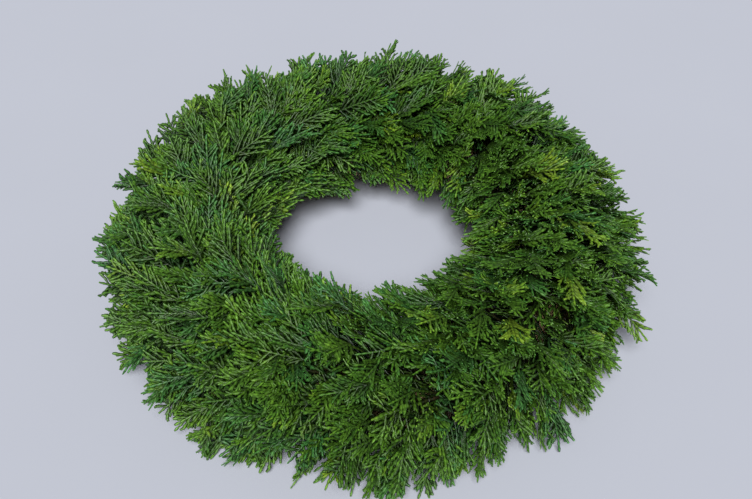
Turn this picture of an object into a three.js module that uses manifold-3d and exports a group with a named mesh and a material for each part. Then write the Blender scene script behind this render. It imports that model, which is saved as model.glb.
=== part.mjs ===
// A fresh evergreen wreath, lying flat on its back, in millimetres with +Z up.
//
// A roll of straw is the former. Bunches of flat, fern-like sprays are bound to it in three rows, on
// its outer shoulder, its top and its inner shoulder. All point clockwise as seen from above, and the
// sprays fan out and down from their stems, so that each bunch covers the stems of the next. One
// binding wire winds round the roll and over every stem, and is pressed into the straw's underside.
// The origin is on the surface that the wreath lies on, at the middle of the ring.
import * as THREE from "three";
import { mergeVertices } from "three/addons/utils/BufferGeometryUtils.js";
import Module from "manifold-3d";

const wasm = await Module();
wasm.setup();

// ---- Driving dimensions ---------------------------------------------------------------------
const RING_RADIUS = 153; // wreath axis to the middle of the straw roll
const STRAW_HALF = 25; // middle of the roll to each of its flats, the lowest of which is at z 0
const STRAW_SIDES = 8;
const STATIONS = 18; // bunches in each row
const PITCH = 360 / STATIONS; // degrees from bunch to bunch
const FLATS = 2 * STATIONS; // flats round the ring
const SEAT_GAP = 0.35; // between pieces that touch

// The foliage's outer form, measured from the middle of the straw roll.
const LOW_REACH = 71; // the least, near the floor
const TOP_REACH = 95; // the most
const FULLEST_AT = 78; // section angle of the most, a little outside the top
const REACH_SHAPE = 1.2; // how soon the reach grows from the least to the most
const FLOOR_GAP = 1.5; // the sprays' lowest edges, above the surface that the wreath lies on
const CLIMB = 0.8; // how far these edges climb inside the ring, for each mm of reach past the next value
const CLIMB_FROM = 19;

// The lay: how far a spray runs along the ring while it rises from the straw to the outer form.
const LAY_BASE = -85;
const LAY_PER_RISE = 2.6;
const LAY_START = 1.1; // the lay per rise at the root, of the mean, so that the tips turn outwards
const LAY_RADIUS_AT = 0.6; // share of the rise at which the lay's radius is taken

// The sprays.
const BLADE = 0.9; // thickness
const RIB_WIDTH = 3;
const ROOT_SINK = 0.6; // the rib's point, run back into the stem
const LAYER_STEP = 1.9; // degrees between one layer of sprays and the next
const LAYER_TURNS = 3; // lanes side by side are at least this many layers apart
const FIRST_LAYER = 3; // degrees past the station
const FAN_OUT = 1.75; // how soon a spray leaves the line of its stem for its own lane, 1 being evenly
const RISE_SOON = 1.25; // how soon it rises, in the same way
const EDGE_GAP = 1; // sideways, between a spray and the floor
const WIDEST = 1.15; // fingers at most, of the half width

// A spray's fingers, from the lowest to the leading one, as shares of its length and half width.
const FINGER_ROOTS = [0.06, 0.83];
const FINGER_TIPS = [0.48, 1];
const FINGER_WIDTHS = [1, 0.45];
const RIB_END = 0.82;
const STAGGER = 0.02; // roots of the two sides apart

// The stems.
const STEM_WIDTH = 4.4; // at the straw
const STEM_TOP_SHARE = 0.6; // width at the top, of that
const STEM_TAPER = 0.85; // width at the cut end, of the full width
const STEM_HEIGHT = 3.4;
const STEM_START = 1; // degrees past the station
const STEM_PAST_ROOT = 0.9; // degrees past its last spray's root

// The binding wire.
const WIRE_RADIUS = 0.65;
const WIRE_SIDES = 3;
const WIRE_AT = 2.6; // degrees past the station, over the stems
const WIRE_SUNK = 1.04; // its middle, above the straw's underside
const NOTCH_DEPTH = 5.5; // pressed by the wire into the straw's underside
const NOTCH_WIDTH = 5;

// Rows of bunches. Each has its share of the way round the section (0 is the floor outside, 1 the
// floor inside), its sprays in a bunch, the section angle of the flat that its stems lie on, and the
// half width and the fingers on each side of its sprays.
const ROWS = [
  { name: "outer", from: 0, to: 0.4, sprays: 4, seat: 45, halfWidth: 29, fingers: 4 },
  { name: "top", from: 0.4, to: 0.72, sprays: 3, seat: 90, halfWidth: 28, fingers: 4 },
  { name: "inner", from: 0.72, to: 1, sprays: 2, seat: 135, halfWidth: 26, fingers: 3 },
];
const LANES = ROWS.reduce((sum, row) => sum + row.sprays, 0);
const ROOT_REACH = STRAW_HALF + SEAT_GAP + STEM_HEIGHT / 2;
const STEM_TOP = STRAW_HALF + SEAT_GAP + STEM_HEIGHT;

// ---- Small helpers --------------------------------------------------------------------------
const DEGREE = Math.PI / 180;
const mix = (a, b, t) => a + (b - a) * t;
const paint = (color, roughness, metalness = 0) =>
  new THREE.MeshStandardMaterial({ color, roughness, metalness });

// A repeatable stream of numbers from 0 to 1.
function randomStream(seed) {
  let state = seed >>> 0;
  return () => {
    state = (state + 0x6d2b79f5) >>> 0;
    let t = Math.imul(state ^ (state >>> 15), state | 1);
    t ^= t + Math.imul(t ^ (t >>> 7), t | 61);
    return ((t ^ (t >>> 14)) >>> 0) / 4294967296;
  };
}

// The point at a clockwise angle round the ring, an angle round the straw's section (0 outwards,
// 90 up, 180 inwards), a distance from the middle of the straw and one sideways, with both angles
// in degrees. The ring is made of flats, and every piece on it follows them.
function ringPoint(around, section, reach, sideways = 0) {
  const flat = 360 / FLATS;
  const fromMiddle = around - flat * (Math.floor(around / flat) + 0.5);
  const facet = Math.cos((flat / 2) * DEGREE) / Math.cos(fromMiddle * DEGREE);
  const [c, s] = [Math.cos(section * DEGREE), Math.sin(section * DEGREE)];
  const r = (RING_RADIUS + reach * c - sideways * s) * facet;
  return new THREE.Vector3(
    r * Math.cos(around * DEGREE),
    -r * Math.sin(around * DEGREE),
    STRAW_HALF + reach * s + sideways * c,
  );
}

// The three.js solid as a manifold-3d solid.
function toSolid(geometry) {
  const bare = new THREE.BufferGeometry();
  bare.setAttribute("position", geometry.getAttribute("position"));
  bare.setIndex(geometry.index);
  const merged = mergeVertices(bare, 1e-3);
  return closedSolid(merged.attributes.position.array, merged.index.array);
}

function closedSolid(positions, triangles) {
  return new wasm.Manifold(
    new wasm.Mesh({
      numProp: 3,
      vertProperties: new Float32Array(positions),
      triVerts: new Uint32Array(triangles),
    }),
  );
}

// A manifold-3d solid as a three.js geometry.
function toGeometry(solid) {
  const mesh = solid.getMesh();
  const geometry = new THREE.BufferGeometry();
  geometry.setAttribute("position", new THREE.BufferAttribute(mesh.vertProperties, 3));
  geometry.setIndex(new THREE.BufferAttribute(mesh.triVerts, 1));
  geometry.computeVertexNormals();
  return geometry;
}

// A solid through rings of points, each ring counter-clockwise as seen from the far end.
function sweep(rings) {
  const sides = rings[0].length;
  const triangles = [];
  for (let i = 0; i + 1 < rings.length; i++) {
    for (let k = 0; k < sides; k++) {
      const [a, b] = [i * sides + k, i * sides + ((k + 1) % sides)];
      triangles.push(a, b, b + sides, a, b + sides, a + sides);
    }
  }
  const last = (rings.length - 1) * sides;
  for (let k = 1; k + 1 < sides; k++) {
    triangles.push(0, k + 1, k, last, last + k, last + k + 1);
  }
  return closedSolid(rings.flat().flatMap((point) => point.toArray()), triangles);
}

// ---- Straw roll -----------------------------------------------------------------------------
function strawRoll() {
  const corner = STRAW_HALF / Math.cos(Math.PI / STRAW_SIDES);
  const profile = [];
  for (let i = 0; i <= STRAW_SIDES; i++) {
    const a = ((i + 0.5) / STRAW_SIDES) * 2 * Math.PI;
    profile.push(
      new THREE.Vector2(RING_RADIUS + corner * Math.cos(a), STRAW_HALF + corner * Math.sin(a)),
    );
  }
  const roll = new THREE.LatheGeometry(profile, FLATS, Math.PI / 2).rotateX(Math.PI / 2);
  let solid = toSolid(roll);
  const lowest = wirePath().filter((point) => point.below);
  for (let i = 0; i + 1 < lowest.length; i += 2) {
    solid = solid.subtract(notch(lowest[i].centre, lowest[i + 1].centre));
  }
  return toGeometry(solid);
}

// The groove that the wire has pressed into the straw's underside between two of its bends.
function notch(from, to) {
  const run = to.clone().sub(from);
  const groove = new THREE.BoxGeometry(run.length() + 2 * STRAW_HALF, NOTCH_WIDTH, 2 * NOTCH_DEPTH);
  groove.rotateZ(Math.atan2(run.y, run.x));
  groove.translate((from.x + to.x) / 2, (from.y + to.y) / 2, 0);
  return toSolid(groove);
}

// ---- Binding wire ---------------------------------------------------------------------------
// The wire's bends: over the three rows of stems, then slanting under the straw to the next turn.
function wirePath() {
  const bend = 360 / STRAW_SIDES;
  const over = STEM_TOP + SEAT_GAP + WIRE_RADIUS;
  const under = STRAW_HALF - WIRE_SUNK;
  const slantFrom = STRAW_SIDES - 3;
  const path = [];
  for (let turn = 0; turn < STATIONS; turn++) {
    for (let k = 0; k < STRAW_SIDES; k++) {
      const section = bend * (k - 0.5);
      const below = k > slantFrom;
      const slant = (PITCH * Math.max(0, k - slantFrom)) / (STRAW_SIDES - slantFrom);
      const around = WIRE_AT + PITCH * turn + slant;
      const reach = (below ? under : over) / Math.cos((bend / 2) * DEGREE);
      path.push({
        below,
        centre: ringPoint(around, section, reach),
        outward: ringPoint(around, section, reach + 1),
      });
    }
  }
  return path;
}

function bindingWire() {
  const path = wirePath();
  const rings = path.map(({ centre, outward }, i) => {
    const next = path[Math.min(i + 1, path.length - 1)].centre;
    const along = next.clone().sub(path[Math.max(i - 1, 0)].centre).normalize();
    const up = outward.clone().sub(centre);
    const across = along.clone().cross(up).normalize();
    up.crossVectors(across, along);
    return Array.from({ length: WIRE_SIDES }, (_, k) => {
      const a = (k / WIRE_SIDES) * 2 * Math.PI;
      return centre
        .clone()
        .addScaledVector(up, WIRE_RADIUS * Math.cos(a))
        .addScaledVector(across, WIRE_RADIUS * Math.sin(a));
    });
  });
  return toGeometry(sweep(rings));
}

// ---- Sprays ---------------------------------------------------------------------------------
// How far the foliage reaches from the middle of the straw, at a section angle.
function foliageReach(section) {
  const fullness = Math.max(0, Math.cos((section - FULLEST_AT) * DEGREE));
  return mix(LOW_REACH, TOP_REACH, 1 - (1 - fullness) ** REACH_SHAPE);
}

// The section angle at a share of the way round, from the floor outside to the floor inside.
function sectionAngle(share, reach) {
  const low = STRAW_HALF - FLOOR_GAP;
  const climb = CLIMB * Math.max(0, reach - CLIMB_FROM);
  const outerDrop = Math.asin(low / reach) / DEGREE;
  const innerDrop = Math.asin((low - climb) / reach) / DEGREE;
  return mix(-outerDrop, 180 + innerDrop, share);
}

// Degrees of lay round the ring at a section angle and a reach. All sprays follow this one rule, so
// that those of different layers never cross.
function layAngle(section, reach) {
  const rise = foliageReach(section) - ROOT_REACH;
  const risen = (reach - ROOT_REACH) / rise;
  const lay = (LAY_BASE + LAY_PER_RISE * rise) * risen * mix(LAY_START, 1, risen);
  const radius = RING_RADIUS + mix(ROOT_REACH, reach, LAY_RADIUS_AT) * Math.cos(section * DEGREE);
  return lay / radius / DEGREE;
}

// The flat outline of a spray with its rib along y: tapered fingers cut to the rib, the lowest ones
// the longest, and one leading finger.
function sprayOutline(length, halfWidth, fingers, random) {
  const side = (sign) => {
    const points = [];
    for (let i = 0; i < fingers; i++) {
      const along = i / fingers;
      const tip = [
        halfWidth * mix(...FINGER_WIDTHS, along) * mix(0.85, 1.1, random()),
        length * mix(...FINGER_TIPS, along) * mix(0.94, 1.04, random()),
      ];
      const root = length * (mix(...FINGER_ROOTS, along) + STAGGER * sign);
      points.push([RIB_WIDTH / 2, root], tip);
    }
    points.push([RIB_WIDTH / 2, RIB_END * length]);
    return points.map(([x, y]) => new THREE.Vector2(sign * x, y));
  };
  return [
    new THREE.Vector2(0, -ROOT_SINK),
    ...side(1),
    new THREE.Vector2(0, length * mix(0.98, 1.06, random())),
    ...side(-1).reverse(),
  ];
}

// A function that bends a flat spray into its place: (x, y) on the flat gives a point in space.
function sprayPlace({ layer, seat, lane, length, halfWidth, rise, twist }) {
  const [first, last] = [sectionAngle(0, ROOT_REACH), sectionAngle(1, ROOT_REACH)];
  const rootLane = (seat - first) / (last - first);
  return (x, y) => {
    const q = y / length;
    const middle = mix(rootLane, lane, q * mix(FAN_OUT, 1, q));
    const section = sectionAngle(middle, mix(ROOT_REACH, LOW_REACH, q));
    const reach = mix(ROOT_REACH, foliageReach(section) * rise, q * mix(RISE_SOON, 1, q));
    const wholeLength = (sectionAngle(1, reach) - sectionAngle(0, reach)) * DEGREE * reach;
    const room = wholeLength * (x < 0 ? 1 - middle : middle) - EDGE_GAP;
    const fit = Math.min(1, room / (WIDEST * halfWidth));
    const place = sectionAngle(middle - (x * fit) / wholeLength, reach);
    const around = layer + layAngle(place, reach) + (twist * LAYER_STEP * q * x) / halfWidth;
    return ringPoint(around, place, reach);
  };
}

// A blade of even thickness from a flat outline, bent by place(x, y). Both faces have the same
// triangles, so that they never cross.
function blade(outline, place) {
  const step = 0.5;
  const positions = [];
  for (const { x, y } of outline) {
    const alongX = place(x + step, y).sub(place(x - step, y));
    const alongY = place(x, y + step).sub(place(x, y - step));
    const half = alongX.cross(alongY).setLength(BLADE / 2);
    const point = place(x, y);
    positions.push(...point.clone().add(half), ...point.clone().sub(half));
  }
  const triangles = [];
  for (const [a, b, c] of THREE.ShapeUtils.triangulateShape(outline, [])) {
    triangles.push(2 * a, 2 * b, 2 * c, 2 * a + 1, 2 * c + 1, 2 * b + 1);
  }
  for (let k = 0; k < outline.length; k++) {
    const [a, b] = [2 * k, 2 * ((k + 1) % outline.length)];
    triangles.push(a + 1, b + 1, b, a + 1, b, a);
  }
  return closedSolid(positions, triangles);
}

// ---- Bunches --------------------------------------------------------------------------------
// The stem of a bunch: a tapered bar that lies on the straw, bent where two flats meet.
function stem(station, seat, end) {
  const rings = [
    [station + STEM_START, STEM_TAPER],
    [station + PITCH / 2, 1],
    [end, 1],
  ].map(([around, scale]) => {
    const half = (STEM_WIDTH / 2) * scale;
    const halfTop = half * STEM_TOP_SHARE;
    return [
      ringPoint(around, seat, STRAW_HALF + SEAT_GAP, -half),
      ringPoint(around, seat, STEM_TOP, -halfTop),
      ringPoint(around, seat, STEM_TOP, halfTop),
      ringPoint(around, seat, STRAW_HALF + SEAT_GAP, half),
    ];
  });
  return sweep(rings);
}

// A bunch of a row: its stem with its sprays, which leave the stem one after another.
function bunch(row, firstLane, station, random) {
  const layers = Array.from({ length: row.sprays }, (_, k) => {
    const turned = (firstLane + k) * LAYER_TURNS;
    const order = (turned % LANES) + LAYER_TURNS - 1 - Math.floor(turned / LANES);
    return station + FIRST_LAYER + order * LAYER_STEP;
  });
  let solid = stem(station, row.seat, Math.max(...layers) + STEM_PAST_ROOT);
  layers.forEach((layer, k) => {
    const lane = mix(row.from, row.to, (k + mix(0.42, 0.58, random())) / row.sprays);
    const rise = foliageReach(sectionAngle(lane, LOW_REACH)) - ROOT_REACH;
    const spray = {
      layer: layer + mix(-0.25, 0.25, random()) * LAYER_STEP,
      seat: row.seat,
      lane,
      length: Math.hypot(rise, LAY_BASE + LAY_PER_RISE * rise),
      halfWidth: row.halfWidth * mix(0.9, 1.1, random()),
      rise: mix(0.95, 1.05, random()),
      twist: mix(-0.5, 0.5, random()),
    };
    const outline = sprayOutline(spray.length, spray.halfWidth, row.fingers, random);
    solid = solid.add(blade(outline, sprayPlace(spray)));
  });
  return toGeometry(solid);
}

// ---- Wreath ---------------------------------------------------------------------------------
const wreath = new THREE.Group();

function addPiece(name, geometry, material) {
  const mesh = new THREE.Mesh(geometry, material);
  mesh.name = name;
  wreath.add(mesh);
}

addPiece("straw_ring", strawRoll(), paint(0xb79a62, 0.9));
addPiece("binding_wire", bindingWire(), paint(0x4a5a3c, 0.45, 0.6));

const random = randomStream(32);
let firstLane = 0;
for (const row of ROWS) {
  for (let i = 0; i < STATIONS; i++) {
    const number = String(i + 1).padStart(2, "0");
    const green = new THREE.Color(0x36591f).offsetHSL(0, 0, mix(-0.05, 0.05, random()));
    addPiece(`${row.name}_bunch_${number}`, bunch(row, firstLane, PITCH * i, random), paint(green, 0.65));
  }
  firstLane += row.sprays;
}

export default wreath;
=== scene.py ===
"""A fresh evergreen wreath: bunches of flat conifer sprays, bound to a straw ring with one wire.

The wreath lies on its back on a pale surface. Its sprays all run clockwise as seen from above. Each
bunch of the frame is replaced by the same bunch with its twigs and scale leaves, and the straw ring
and the binding wire by finer ones. Sizes are in millimetres and degrees until a mesh is made.
"""

import logging
import math
from collections.abc import Callable
from dataclasses import dataclass, field
from enum import Enum
from typing import ClassVar

import bpy
import numpy as np
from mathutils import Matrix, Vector

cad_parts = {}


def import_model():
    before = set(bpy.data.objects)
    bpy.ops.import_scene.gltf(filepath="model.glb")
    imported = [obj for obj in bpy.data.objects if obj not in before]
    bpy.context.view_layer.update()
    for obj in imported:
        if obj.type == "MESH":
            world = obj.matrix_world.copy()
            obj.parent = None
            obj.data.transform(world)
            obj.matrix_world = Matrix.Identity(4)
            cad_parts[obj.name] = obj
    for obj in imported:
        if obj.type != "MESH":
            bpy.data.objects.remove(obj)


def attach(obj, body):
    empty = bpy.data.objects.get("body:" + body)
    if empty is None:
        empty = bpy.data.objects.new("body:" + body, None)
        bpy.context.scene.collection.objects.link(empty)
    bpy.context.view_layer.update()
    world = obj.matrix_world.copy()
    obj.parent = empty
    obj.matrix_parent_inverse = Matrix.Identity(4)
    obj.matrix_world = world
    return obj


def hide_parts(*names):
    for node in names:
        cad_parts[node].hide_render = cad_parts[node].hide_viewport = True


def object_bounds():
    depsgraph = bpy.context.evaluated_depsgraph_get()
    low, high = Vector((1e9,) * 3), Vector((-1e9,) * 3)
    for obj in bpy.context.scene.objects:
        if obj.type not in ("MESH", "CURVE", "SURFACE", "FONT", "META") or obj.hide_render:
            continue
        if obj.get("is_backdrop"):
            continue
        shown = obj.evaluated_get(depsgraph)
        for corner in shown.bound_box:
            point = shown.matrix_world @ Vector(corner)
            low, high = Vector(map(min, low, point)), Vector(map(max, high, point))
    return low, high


MM = 0.001
BODY = "root"
SEED = 32

log = logging.getLogger("wreath")

Numbers = float | np.ndarray
Range = tuple[float, float]
Triple = tuple[float, float, float]
Table = tuple[tuple[float, ...], tuple[float, ...]]
Socket = bpy.types.NodeSocket
Chance = np.random.Generator


def mix(a: Numbers, b: Numbers, t: Numbers) -> Numbers:
    """A value or array that is a share t of the way from a to b."""
    return a + (b - a) * t


# ---- Form --------------------------------------------------------------------------------------


@dataclass(frozen=True)
class RowPlan:
    """One row of bunches: its share of the way round the section and what a bunch holds.

    The section runs from 0, the surface outside the wreath, over the top to 1, the surface inside.
    The seat is the section angle of the straw's flat that the stems lie on, 0 being outwards, 90 up.
    The frame's own sprays have a half width and so many fingers a side. The tips are the small fans
    at the outer form, and the covers are the low sprays over the straw.
    """

    name: str
    start: float
    end: float
    seat: float
    sprays: int
    half_width: float
    fingers: int
    tips: int
    covers: int


class Row(Enum):
    """The rows, in the order in which their lanes are counted."""

    OUTER = RowPlan("outer", 0.0, 0.4, seat=45.0, sprays=4, half_width=29.0, fingers=4, tips=30, covers=3)
    TOP = RowPlan("top", 0.4, 0.72, seat=90.0, sprays=3, half_width=28.0, fingers=4, tips=23, covers=4)
    INNER = RowPlan("inner", 0.72, 1.0, seat=135.0, sprays=2, half_width=26.0, fingers=3, tips=16, covers=4)


@dataclass(frozen=True)
class WreathForm:
    """The form that the straw, the stems, the wire and the sprays share."""

    ring_radius: float = 153.0
    straw_half: float = 25.0
    straw_sides: int = 8
    stations: int = 18
    seat_gap: float = 0.35
    stem_height: float = 3.4
    low_reach: float = 71.0
    top_reach: float = 95.0
    fullest_at: float = 78.0
    reach_shape: float = 1.2
    floor_gap: float = 1.5
    climb: float = 0.8
    climb_from: float = 19.0
    lay_base: float = -85.0
    lay_per_rise: float = 2.6
    lay_start: float = 1.1
    lay_radius_at: float = 0.6

    @property
    def pitch(self) -> float:
        """Degrees from one bunch of a row to the next."""
        return 360.0 / self.stations

    @property
    def root_reach(self) -> float:
        """From the middle of the straw to the middle of a stem."""
        return self.straw_half + self.seat_gap + self.stem_height / 2

    def point(self, around: Numbers, section: Numbers, reach: Numbers) -> np.ndarray:
        """Gives points of the wreath.

        Args:
            around: Degrees clockwise round the ring, seen from above.
            section: Degrees round the straw's section, 0 outwards and 90 up.
            reach: Distance from the middle of the straw.

        Returns:
            The points, with x, y and z last.
        """
        turn, tilt = np.radians(around), np.radians(section)
        radius = self.ring_radius + reach * np.cos(tilt)
        height = self.straw_half + reach * np.sin(tilt)
        parts = np.broadcast_arrays(radius * np.cos(turn), -radius * np.sin(turn), height)
        return np.stack(parts, axis=-1)

    def foliage_reach(self, section: Numbers) -> Numbers:
        """How far the foliage reaches from the middle of the straw at a section angle."""
        fullness = np.maximum(0.0, np.cos(np.radians(section - self.fullest_at)))
        return mix(self.low_reach, self.top_reach, 1 - (1 - fullness) ** self.reach_shape)

    def section_angle(self, share: Numbers, reach: Numbers) -> Numbers:
        """Gives the section angle at a share of the way round.

        Args:
            share: 0 at the surface outside the wreath, 1 at the lowest point inside.
            reach: Distance from the middle of the straw.

        Returns:
            The angle, in degrees.
        """
        low = self.straw_half - self.floor_gap
        climb = self.climb * np.maximum(0.0, reach - self.climb_from)
        outer_drop = np.degrees(np.arcsin(low / reach))
        inner_drop = np.degrees(np.arcsin((low - climb) / reach))
        return mix(-outer_drop, 180 + inner_drop, share)

    def lay_angle(self, section: Numbers, reach: Numbers) -> Numbers:
        """How far a spray has run along the ring, once it has risen so far.

        Args:
            section: The spray's section angle.
            reach: Its distance from the middle of the straw.

        Returns:
            Degrees clockwise from its root.
        """
        rise = self.foliage_reach(section) - self.root_reach
        risen = (reach - self.root_reach) / rise
        lay = (self.lay_base + self.lay_per_rise * rise) * risen * mix(self.lay_start, 1, risen)
        middle = mix(self.root_reach, reach, self.lay_radius_at)
        return np.degrees(lay / (self.ring_radius + middle * np.cos(np.radians(section))))


class DrawStream:
    """The repeatable stream of numbers from 0 to 1 that placed the frame's sprays."""

    WORD: ClassVar[int] = 0xFFFFFFFF
    STRIDE: ClassVar[int] = 0x6D2B79F5

    def __init__(self, seed: int) -> None:
        """Starts the stream at a seed."""
        self.state = seed

    def draw(self) -> float:
        """Draws the next number.

        Returns:
            A number from 0 to 1.
        """
        self.state = (self.state + self.STRIDE) & self.WORD
        t = ((self.state ^ (self.state >> 15)) * (self.state | 1)) & self.WORD
        t ^= (t + (((t ^ (t >> 7)) * (t | 61)) & self.WORD)) & self.WORD
        return ((t ^ (t >> 14)) & self.WORD) / 2**32

    def between(self, low: float, high: float) -> float:
        """The next number, from low to high."""
        return mix(low, high, self.draw())


# ---- Node trees --------------------------------------------------------------------------------


class NodeDesk:
    """Adds and links the nodes of one tree."""

    def __init__(self, tree: bpy.types.NodeTree) -> None:
        """Works on a tree."""
        self.tree = tree

    def feed(self, socket: Socket, value: object) -> None:
        """Links an output to the socket, or sets a plain value on it.

        Args:
            socket: The input.
            value: The output or the value.
        """
        if isinstance(value, Socket):
            self.tree.links.new(value, socket)
        else:
            socket.default_value = value

    def add(
        self, kind: str, feeds: dict[str | int, object] | None = None, **settings: object
    ) -> bpy.types.Node:
        """Adds a node.

        Args:
            kind: The node's type.
            feeds: Outputs or values for its inputs, by name or number.
            **settings: Values for its own settings.

        Returns:
            The node.
        """
        node = self.tree.nodes.new(kind)
        for name, value in settings.items():
            setattr(node, name, value)
        for name, value in (feeds or {}).items():
            self.feed(node.inputs[name], value)
        return node

    def math(self, operation: str, *values: object) -> Socket:
        """Adds a math node.

        Args:
            operation: What the node works out.
            *values: One to three outputs or numbers.

        Returns:
            The node's output.
        """
        node = self.add("ShaderNodeMath", operation=operation)
        for socket, value in zip(node.inputs, values):
            self.feed(socket, value)
        return node.outputs[0]


def new_group(
    name: str, kind: str, inputs: dict[str, tuple[str, object]], outputs: dict[str, str]
) -> tuple[NodeDesk, bpy.types.Node, bpy.types.Node]:
    """Makes a node group with named sockets.

    Args:
        name: The group's name.
        kind: The tree's type.
        inputs: Socket type and first value of each input. None leaves the value.
        outputs: Socket type of each output.

    Returns:
        The desk, the group's input node and its output node.
    """
    tree = bpy.data.node_groups.new(name, kind)
    for label, (socket_type, value) in inputs.items():
        socket = tree.interface.new_socket(label, in_out="INPUT", socket_type=socket_type)
        if value is not None:
            socket.default_value = value
    for label, socket_type in outputs.items():
        tree.interface.new_socket(label, in_out="OUTPUT", socket_type=socket_type)
    desk = NodeDesk(tree)
    return desk, desk.add("NodeGroupInput"), desk.add("NodeGroupOutput")


# ---- Growth lines ------------------------------------------------------------------------------


class Mark(Enum):
    """What a point of a growth line carries into the mesh and its finish."""

    WIDTH = "width"
    TONE = "tone"
    # Fresher towards the tips: partly real new growth, partly painted shade deeper in the foliage.
    FRESH_AND_SHADE = "fresh"
    BARK = "bark"
    # Painted shade in the creases where two scale leaves meet, with painted light on the leaves between.
    CREASE_SHADE = "joint"


@dataclass
class GrowthLines:
    """The lines that a piece's twigs or stalks follow, with what each point carries."""

    points: list[np.ndarray] = field(default_factory=list)
    facings: list[np.ndarray] = field(default_factory=list)
    marks: dict[Mark, list[np.ndarray]] = field(default_factory=lambda: {m: [] for m in Mark})
    edges: list[np.ndarray] = field(default_factory=list)
    count: int = 0

    def add(self, points: np.ndarray, facings: np.ndarray, marks: dict[Mark, Numbers]) -> None:
        """Adds lines of equal point counts.

        Args:
            points: Lines, points and x, y, z, in millimetres.
            facings: The direction that the flat side faces, at each point.
            marks: What each point carries. A mark that is left out is 0.
        """
        lines, length = points.shape[:2]
        numbers = self.count + np.arange(lines * length).reshape(lines, length)
        self.edges.append(np.stack([numbers[:, :-1], numbers[:, 1:]], axis=-1).reshape(-1, 2))
        self.points.append(points.reshape(-1, 3))
        self.facings.append(facings.reshape(-1, 3))
        for mark in Mark:
            value = np.broadcast_to(marks.get(mark, 0.0), (lines, length))
            self.marks[mark].append(value.reshape(-1))
        self.count += lines * length

    def mesh(self, name: str) -> bpy.types.Mesh:
        """Makes the lines a mesh of edges, in metres.

        Args:
            name: The mesh's name.

        Returns:
            The mesh, with the marks and facings as attributes of its points.
        """
        mesh = bpy.data.meshes.new(name)
        edges = np.concatenate(self.edges).astype(np.int32)
        mesh.vertices.add(self.count)
        mesh.edges.add(len(edges))
        positions = (np.concatenate(self.points) * MM).astype(np.float32)
        mesh.vertices.foreach_set("co", positions.ravel())
        mesh.edges.foreach_set("vertices", edges.ravel())
        facing = mesh.attributes.new("facing", "FLOAT_VECTOR", "POINT")
        facing.data.foreach_set("vector", np.concatenate(self.facings).astype(np.float32).ravel())
        for mark, values in self.marks.items():
            layer = mesh.attributes.new(mark.value, "FLOAT", "POINT")
            layer.data.foreach_set("value", np.concatenate(values).astype(np.float32))
        return mesh


@dataclass(frozen=True)
class TwigShape:
    """How a growth line gets its body, named as the tree's inputs are.

    The step is in metres. The waist, flatness, tip and spread are shares of the width.
    """

    step: float
    waist: float
    flatness: float
    tip: float
    spread: float
    sides: int


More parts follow.
